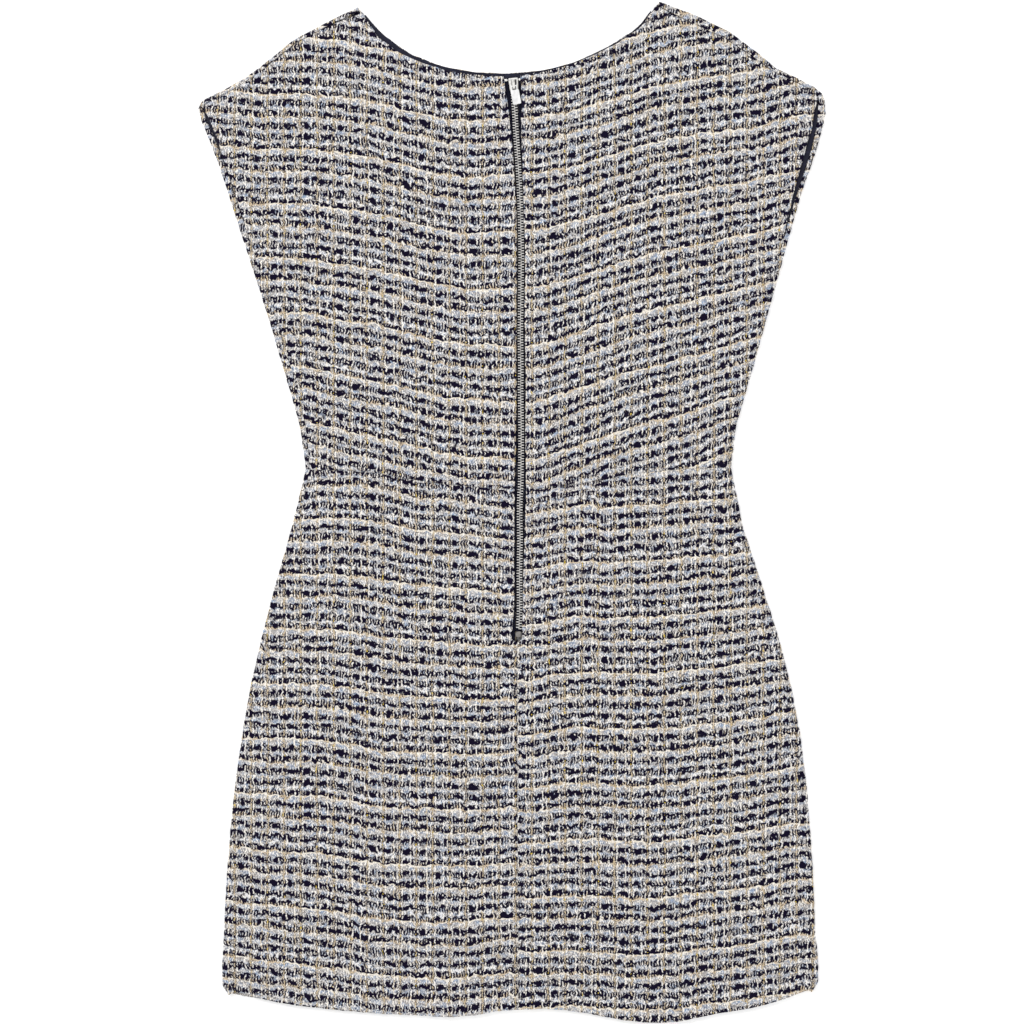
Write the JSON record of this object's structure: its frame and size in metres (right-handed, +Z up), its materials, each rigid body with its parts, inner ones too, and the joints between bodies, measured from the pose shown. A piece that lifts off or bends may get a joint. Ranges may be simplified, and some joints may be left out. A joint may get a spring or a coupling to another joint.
{
  "type": "shift dress",
  "caption": "Sleeveless tweed shift dress laid flat with its back uppermost: round neck, cap shoulders, waist seam and an exposed centre back zip with a pull tab.",
  "frame": {"origin": "middle of the laid dress's footprint, on the surface it lies on", "axes": "+Z up out of the back, +Y towards the neckline, +X towards the wearer's right side"},
  "size_m": [0.539, 0.8777, 0.0091],
  "materials": {
    "tweed": "woven boucle tweed in navy, grey-blue, ivory and gold, backed by its lining",
    "navy_lining": "smooth navy lining with a soft sheen",
    "navy_tape": "close woven zip tape",
    "nickel": "bright nickel-plated zip metal"
  },
  "bodies": {
    "dress": {"front_bodice": "tweed", "front_skirt": "tweed", "back_bodice_left": "tweed", "back_bodice_right": "tweed", "back_skirt_left": "tweed", "back_skirt_right": "tweed", "front_neck_facing": "navy_lining", "armhole_lining_left": "navy_lining", "armhole_lining_right": "navy_lining", "zip_tape_left": "navy_tape", "zip_tape_right": "navy_tape", "zip_chain": "nickel", "zip_slider": "nickel", "zip_bottom_stop": "nickel", "zip_top_stop_left": "nickel", "zip_top_stop_right": "nickel"},
    "pull_tab": {"zip_pull_tab": "nickel"}
  },
  "joints": [
    {"name": "pull_tab_swing", "type": "hinge", "parent": "dress", "child": "pull_tab", "pos_m": [0.0015, 0.366, 0.0074], "axis": [-0.9816, -0.1908, 0], "range_deg": [0, 130]}
  ]
}
